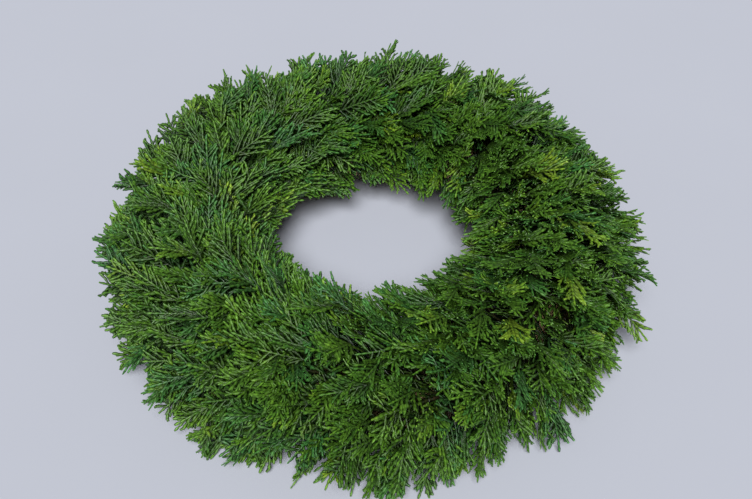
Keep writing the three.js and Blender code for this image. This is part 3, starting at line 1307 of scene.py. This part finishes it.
    def _free_spray(self, place: Place, habit: SprayHabit, chance: Chance) -> Spray:
        """Makes a spray whose outline is drawn from the bunch's own random numbers.

        Args:
            place: Where it lies.
            habit: How it branches.
            chance: The bunch's random numbers.

        Returns:
            The spray.
        """
        reach, forward = {}, {}
        for side in (1, -1):
            reach[side], forward[side] = self._fingers(habit, self.free_fingers, chance.uniform)
        tone = self.tones.draw(chance)
        return Spray(place, habit, tone, reach, forward, chance.uniform(*self.frame_draws.leader))


def settle_piece(piece: bpy.types.Object, slot: str, *nodes: str) -> None:
    """Rides a finished piece on the wreath's body in the place of its nodes, and reports it.

    Args:
        piece: The piece.
        slot: Its material slot; not used.
        *nodes: The nodes that it replaces.
    """
    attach(piece, BODY)
    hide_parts(*nodes)
    log.info("%s: %d faces, in place of %s", piece.name, len(piece.data.polygons), ", ".join(nodes))


# ---- Finishes ----------------------------------------------------------------------------------


def new_material(name: str) -> tuple[bpy.types.Material, NodeDesk, bpy.types.Node]:
    """Makes a material.

    Args:
        name: The material's name.

    Returns:
        The material, the desk of its nodes and its shader.
    """
    material = bpy.data.materials.new(name)
    material.use_nodes = True
    desk = NodeDesk(material.node_tree)
    return material, desk, material.node_tree.nodes["Principled BSDF"]


def mark_value(desk: NodeDesk, mark: Mark) -> Socket:
    """The value that the mesh carries for a mark."""
    return desk.add("ShaderNodeAttribute", attribute_name=mark.value).outputs["Fac"]


def mark_light(desk: NodeDesk, mark: Mark, light: Range) -> Socket:
    """The light that a mark gives, between that at 0 and that at 1."""
    least, most = light
    return desk.math("MULTIPLY_ADD", mark_value(desk, mark), most - least, least)


def add_bump(
    desk: NodeDesk, shader: bpy.types.Node, height: Socket, strength: float, depth: float
) -> None:
    """Roughens a shader's normal by a height, over a depth in metres."""
    feeds = {"Height": height, "Strength": strength, "Distance": depth}
    desk.feed(shader.inputs["Normal"], desk.add("ShaderNodeBump", feeds).outputs[0])


def colour_stops(
    desk: NodeDesk, factor: Socket, stops: list[tuple[float, tuple[float, ...]]]
) -> Socket:
    """Picks a colour by a factor.

    Args:
        desk: The material's desk.
        factor: What picks the colour, from 0 to 1.
        stops: Places and colours.

    Returns:
        The colour.
    """
    ramp = desk.add("ShaderNodeValToRGB", {"Fac": factor})
    elements = ramp.color_ramp.elements
    while len(elements) < len(stops):
        elements.new(1.0)
    for element, (place, colour) in zip(elements, stops):
        element.position = place
        element.color = (*colour, 1.0)
    return ramp.outputs["Color"]


class Mottle:
    """A shader group: a soft, uneven mask on the object's own coordinates."""

    def __init__(self) -> None:
        """Builds the group."""
        first_values = {"Scale": 100.0, "Low": 0.0, "High": 1.0}
        inputs = {name: ("NodeSocketFloat", value) for name, value in first_values.items()}
        desk, start, end = new_group("mottle", "ShaderNodeTree", inputs, {"Mask": "NodeSocketFloat"})
        given = start.outputs
        place = desk.add("ShaderNodeTexCoord").outputs["Object"]
        noise = desk.add(
            "ShaderNodeTexNoise", {"Vector": place, "Scale": given["Scale"], "Detail": 3.0}
        )
        ranges = {"From Min": 0.3, "From Max": 0.7, "To Min": given["Low"], "To Max": given["High"]}
        spread = desk.add("ShaderNodeMapRange", {"Value": noise.outputs[0], **ranges})
        desk.feed(end.inputs["Mask"], spread.outputs["Result"])
        self.tree = desk.tree

    def mask(self, desk: NodeDesk, scale: float, low: float, high: float) -> Socket:
        """Places the group in a material, with its own values, and gives its mask."""
        feeds = {"Scale": scale, "Low": low, "High": high}
        return desk.add("ShaderNodeGroup", feeds, node_tree=self.tree).outputs["Mask"]


@dataclass(frozen=True)
class FoliageFinish:
    """Scale-leaved conifer foliage: deep green, fresher towards the tips, brown at the stems, with painted
    shade deep in the sprays and where scale leaves meet, and painted light on each leaf's middle.
    """

    bluish: Triple = (0.042, 0.150, 0.032)
    deep: Triple = (0.040, 0.113, 0.011)
    middle: Triple = (0.082, 0.190, 0.015)
    yellowish: Triple = (0.160, 0.265, 0.018)
    bark: Triple = (0.090, 0.062, 0.030)
    tone_stops: tuple[float, ...] = (0.0, 0.35, 0.72, 1.0)
    # Brightness from the freshness mark: bright fresh tips, dark painted shade deep in the sprays.
    fresh_light: Range = (-0.1, 1.35)
    # Painted light on each scale leaf's middle, painted shade where two leaves meet.
    joint_light: Range = (1.2, 0.6)
    roughness: Range = (0.34, 0.5)
    specular: float = 0.4

    def build(self, mottle: Mottle) -> bpy.types.Material:
        """Builds the material.

        Args:
            mottle: The shared mask group.

        Returns:
            The material.
        """
        material, desk, shader = new_material("foliage")
        uneven = mottle.mask(desk, scale=90.0, low=-0.25, high=0.25)
        tone = desk.math("ADD", mark_value(desk, Mark.TONE), uneven)
        whole = desk.math("MULTIPLY_ADD", tone, 0.5, 0.5)
        greens = (self.bluish, self.deep, self.middle, self.yellowish)
        green = colour_stops(desk, whole, list(zip(self.tone_stops, greens)))
        # Fresh tips come out brighter, and the painted shade deep in the sprays darker.
        fresh = mark_light(desk, Mark.FRESH_AND_SHADE, self.fresh_light)
        speck = mottle.mask(desk, scale=900.0, low=0.75, high=1.25)
        # Painted shade where scale leaves meet, painted light on the leaves between.
        joint = mark_light(desk, Mark.CREASE_SHADE, self.joint_light)
        value = desk.math("MULTIPLY", desk.math("MULTIPLY", fresh, speck), joint)
        lit = desk.add("ShaderNodeHueSaturation", {"Color": green, "Value": value})
        parts = {"Factor": mark_value(desk, Mark.BARK), "A": lit.outputs[0], "B": (*self.bark, 1.0)}
        wooded = desk.add("ShaderNodeMix", parts, data_type="RGBA")
        desk.feed(shader.inputs["Base Color"], wooded.outputs["Result"])
        desk.feed(shader.inputs["Roughness"], mottle.mask(desk, 500.0, *self.roughness))
        leaf = mottle.mask(desk, scale=1400.0, low=0.0, high=1.0)
        add_bump(desk, shader, leaf, strength=0.35, depth=0.4 * MM)
        shader.inputs["Specular IOR Level"].default_value = self.specular
        return material


@dataclass(frozen=True)
class StrawFinish:
    """Dry pressed straw, each stalk a little different."""

    pale: Triple = (0.62, 0.47, 0.24)
    dark: Triple = (0.30, 0.20, 0.085)
    roughness: Range = (0.6, 0.85)

    def build(self, mottle: Mottle) -> bpy.types.Material:
        """Builds the material.

        Args:
            mottle: The shared mask group.

        Returns:
            The material.
        """
        material, desk, shader = new_material("straw")
        uneven = mottle.mask(desk, scale=400.0, low=-0.2, high=0.2)
        blend = desk.math("ADD", mark_value(desk, Mark.TONE), uneven)
        colour = colour_stops(desk, blend, [(0.0, self.dark), (1.0, self.pale)])
        desk.feed(shader.inputs["Base Color"], colour)
        desk.feed(shader.inputs["Roughness"], mottle.mask(desk, 300.0, *self.roughness))
        grain = mottle.mask(desk, scale=900.0, low=0.0, high=1.0)
        add_bump(desk, shader, grain, strength=0.4, depth=0.5 * MM)
        return material


@dataclass(frozen=True)
class WireFinish:
    """Green lacquered iron wire, satin, with the lacquer rubbed here and there."""

    lacquer: Triple = (0.030, 0.060, 0.028)
    rubbed: Triple = (0.11, 0.11, 0.095)
    rubbed_from: float = 0.2
    roughness: Range = (0.3, 0.5)
    metallic: Range = (0.1, 0.7)

    def build(self, mottle: Mottle) -> bpy.types.Material:
        """Builds the material.

        Args:
            mottle: The shared mask group.

        Returns:
            The material.
        """
        material, desk, shader = new_material("wire")
        worn = mottle.mask(desk, scale=350.0, low=-0.6, high=0.8)
        colour = colour_stops(desk, worn, [(self.rubbed_from, self.lacquer), (1.0, self.rubbed)])
        desk.feed(shader.inputs["Base Color"], colour)
        desk.feed(shader.inputs["Roughness"], mottle.mask(desk, 600.0, *self.roughness))
        desk.feed(shader.inputs["Metallic"], mottle.mask(desk, 350.0, *self.metallic))
        return material


@dataclass(frozen=True)
class FloorFinish:
    """A plain pale surface, very slightly uneven."""

    colour: Triple = (0.38, 0.395, 0.45)
    dimmed: float = 0.985
    roughness: float = 0.9

    def build(self, mottle: Mottle) -> bpy.types.Material:
        """Builds the material.

        Args:
            mottle: The shared mask group.

        Returns:
            The material.
        """
        material, desk, shader = new_material("floor")
        dimmer = tuple(self.dimmed * c for c in self.colour)
        uneven = mottle.mask(desk, scale=6.0, low=0.0, high=1.0)
        colour = colour_stops(desk, uneven, [(0.0, dimmer), (1.0, self.colour)])
        desk.feed(shader.inputs["Base Color"], colour)
        shader.inputs["Roughness"].default_value = self.roughness
        return material


# ---- Former and wire ---------------------------------------------------------------------------


@dataclass
class StrawRing:
    """The pressed straw roll: stalks laid along a ring, flattened on eight sides."""

    form: WreathForm
    twigs: TwigTree
    finish: bpy.types.Material
    stalks: int = 1000
    stalk_points: int = 9
    sinks: Range = (0.6, 1.6)
    lengths: Range = (45.0, 130.0)
    half_widths: Range = (1.2, 2.2)
    tones: Range = (0.1, 0.95)
    drift: float = 7.0
    shape: TwigShape = TwigShape(
        step=14 * MM, waist=0.93, flatness=0.38, tip=0.8, spread=0.06, sides=5
    )
    core_inset: float = 1.6
    core_tone: float = 0.15
    core_turns: int = 144
    core_bends: int = 32

    def build(self) -> None:
        """Builds the stalks over a plain core, in the place of the solid roll."""
        chance = np.random.default_rng(SEED)
        lines = GrowthLines()
        share = np.linspace(0, 1, self.stalk_points)
        for _ in range(self.stalks):
            length = chance.uniform(*self.lengths)
            around = chance.uniform(0, 360) + np.degrees(length / self.form.ring_radius) * share
            section = chance.uniform(0, 360) + chance.uniform(-self.drift, self.drift) * share
            depth = chance.uniform(*self.sinks)
            points = self.form.point(around, section, self._reach(section) - depth)
            up = points - self.form.point(around, section, 0.0)
            width = chance.uniform(*self.half_widths) * MM
            marks = {Mark.WIDTH: width, Mark.TONE: chance.uniform(*self.tones)}
            lines.add(points[None], up[None], marks)
        piece = self.twigs.body("straw_stalks", lines, self.shape, self.finish, SEED)
        self._add_core(piece)
        settle_piece(piece, "straw", "straw_ring")

    def _reach(self, section: np.ndarray) -> np.ndarray:
        """How far the roll's eight-sided outside is from its middle.

        Args:
            section: Section angles.

        Returns:
            Distances from the middle of the roll.
        """
        side = 360 / self.form.straw_sides
        off = (section + side / 2) % side - side / 2
        return self.form.straw_half / np.cos(np.radians(off))

    def _add_core(self, piece: bpy.types.Object) -> None:
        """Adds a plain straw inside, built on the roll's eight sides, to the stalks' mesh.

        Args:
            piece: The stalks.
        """
        turns, bends = self.core_turns, self.core_bends
        around = np.arange(turns) * 360 / turns
        section = np.arange(bends) * 360 / bends
        reach = self._reach(section) - self.core_inset
        grid = self.form.point(around[:, None], section[None], reach[None])
        mesh = bpy.data.meshes.new("core")
        number = np.arange(turns * bends).reshape(turns, bends)
        right, up = np.roll(number, -1, axis=0), np.roll(number, -1, axis=1)
        corner = np.roll(right, -1, axis=1)
        faces = np.stack([number, right, corner, up], axis=-1).reshape(-1, 4)
        mesh.from_pydata((grid.reshape(-1, 3) * MM).tolist(), [], faces.tolist())
        tone = mesh.attributes.new(Mark.TONE.value, "FLOAT", "POINT")
        tone.data.foreach_set("value", np.full(turns * bends, self.core_tone, np.float32))
        mesh.materials.append(self.finish)
        mesh.shade_smooth()
        core = bpy.data.objects.new("core", mesh)
        join_into(piece, core)


def join_into(piece: bpy.types.Object, other: bpy.types.Object) -> None:
    """Joins another object's mesh into a piece's and removes the other object.

    Args:
        piece: The piece.
        other: The object that goes into it.
    """
    bpy.context.scene.collection.objects.link(other)
    with bpy.context.temp_override(active_object=piece, selected_editable_objects=[piece, other]):
        bpy.ops.object.join()


@dataclass
class BindingWire:
    """One thin wire in a turn at each station, over the stems and pressed into the straw below."""

    form: WreathForm
    twigs: TwigTree
    finish: bpy.types.Material
    radius: float = 0.65
    at: float = 2.6
    sunk: float = 1.04
    low_bends: int = 2
    rounding: float = 0.18
    shape: TwigShape = TwigShape(
        step=2.2 * MM, waist=1.0, flatness=1.0, tip=1.0, spread=0.0, sides=8
    )

    def build(self) -> None:
        """Builds the wire in the place of the solid one."""
        lines = GrowthLines()
        points, up = self._path()
        lines.add(points[None], up[None], {Mark.WIDTH: self.radius * MM})
        piece = self.twigs.body("wire_turns", lines, self.shape, self.finish, SEED)
        settle_piece(piece, "wire", "binding_wire")

    def _path(self) -> tuple[np.ndarray, np.ndarray]:
        """Works out the wire's path, with each bend rounded by three points.

        Returns:
            The points, and the direction away from the straw at each.
        """
        form = self.form
        bend = 360 / form.straw_sides
        over = form.straw_half + 2 * form.seat_gap + form.stem_height + self.radius
        under = form.straw_half - self.sunk
        slant_from = form.straw_sides - self.low_bends - 1
        corners, middles = [], []
        for turn in range(form.stations):
            for k in range(form.straw_sides):
                section = bend * (k - 0.5)
                reach = (under if k > slant_from else over) / math.cos(math.radians(bend / 2))
                slant = form.pitch * max(0, k - slant_from) / (form.straw_sides - slant_from)
                around = self.at + form.pitch * turn + slant
                corners.append(form.point(around, section, reach))
                middles.append(form.point(around, section, 0.0))
        corners, middles = np.array(corners), np.array(middles)
        before = mix(corners[1:-1], corners[:-2], self.rounding)
        after = mix(corners[1:-1], corners[2:], self.rounding)
        tops = mix(corners[1:-1], (before + after) / 2, 0.5)
        rounded = np.stack([before, tops, after], axis=1).reshape(-1, 3)
        path = np.concatenate([corners[:1], rounded, corners[-1:]])
        inner = np.concatenate([middles[:1], np.repeat(middles[1:-1], 3, axis=0), middles[-1:]])
        return path, path - inner


# ---- Studio ------------------------------------------------------------------------------------


@dataclass(frozen=True)
class SoftLight:
    """A large, soft, far light: where it comes from, its width in degrees and its strength."""

    source: Triple
    angle: float
    strength: float

    def build(self, name: str) -> None:
        """Adds the light.

        Args:
            name: The light's name.
        """
        light = bpy.data.lights.new(name, "SUN")
        light.angle = math.radians(self.angle)
        light.energy = self.strength
        lamp = bpy.data.objects.new(name, light)
        lamp.location = self.source
        lamp.rotation_euler = (-Vector(self.source)).to_track_quat("-Z", "Y").to_euler()
        bpy.context.scene.collection.objects.link(lamp)


@dataclass(frozen=True)
class Studio:
    """The floor, the soft light and the camera at the photograph's view. Lengths are in metres."""

    elevation: float = 46.0
    distance: float = 0.95
    aim: Triple = (0.002, 0.0375, 0.0)
    lens: float = 47.9
    floor_half: float = 3.0
    sky: Triple = (0.93, 0.96, 1.0)
    sky_strength: float = 0.18
    key: SoftLight = SoftLight((-0.05, -0.85, 1.25), 26.0, 4.8)

    def build(self, mottle: Mottle) -> None:
        """Builds the floor, the lights and the camera.

        Args:
            mottle: The shared mask group, for the floor.
        """
        self._floor(FloorFinish().build(mottle))
        self._lights()
        self._camera()

    def _floor(self, finish: bpy.types.Material) -> None:
        """Adds the surface that the wreath lies on.

        Args:
            finish: Its material.
        """
        half = self.floor_half
        mesh = bpy.data.meshes.new("floor")
        corners = [(-half, -half, 0), (half, -half, 0), (half, half, 0), (-half, half, 0)]
        mesh.from_pydata(corners, [], [(0, 1, 2, 3)])
        mesh.materials.append(finish)
        floor = bpy.data.objects.new("floor", mesh)
        bpy.context.scene.collection.objects.link(floor)
        floor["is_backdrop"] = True

    def _lights(self) -> None:
        """Adds an even sky and a light from above the camera."""
        world = bpy.data.worlds.new("sky")
        world.use_nodes = True
        background = world.node_tree.nodes["Background"]
        background.inputs["Color"].default_value = (*self.sky, 1.0)
        background.inputs["Strength"].default_value = self.sky_strength
        bpy.context.scene.world = world
        self.key.build("key")
        view = bpy.context.scene.view_settings
        view.view_transform = "Standard"
        view.look = "None"

    def _camera(self) -> None:
        """Adds the camera, which looks along +Y and down at the wreath."""
        tilt = math.radians(self.elevation)
        camera = bpy.data.cameras.new("camera")
        camera.sensor_width = 36.0
        camera.lens = self.lens
        camera.clip_start = 0.01
        eye = bpy.data.objects.new("camera", camera)
        forward = Vector((0.0, math.cos(tilt), -math.sin(tilt)))
        eye.location = Vector(self.aim) - forward * self.distance
        eye.rotation_euler = forward.to_track_quat("-Z", "Y").to_euler()
        bpy.context.scene.collection.objects.link(eye)
        bpy.context.scene.camera = eye


# ---- Wreath ------------------------------------------------------------------------------------


def write_sizes(frame_box: tuple[Vector, Vector], made_box: tuple[Vector, Vector]) -> None:
    """Args:
        frame_box: The two corners of the frame's box.
        made_box: The same of the finished wreath.
    """
    boxes = {"cad": frame_box, "visual": made_box}
    {name: [list(corner) for corner in box] for name, box in boxes.items()}


def main() -> None:
    """Builds the wreath around the frame."""
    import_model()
    frame_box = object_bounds()
    mottle = Mottle()
    form = WreathForm()
    twigs = TwigTree()
    Studio().build(mottle)
    StrawRing(form, twigs, StrawFinish().build(mottle)).build()
    BindingWire(form, twigs, WireFinish().build(mottle)).build()
    Foliage(form, twigs, FoliageFinish().build(mottle)).build()
    write_sizes(frame_box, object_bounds())


if __name__ == "__main__":
    logging.basicConfig(level=logging.INFO, format="%(message)s")
    main()
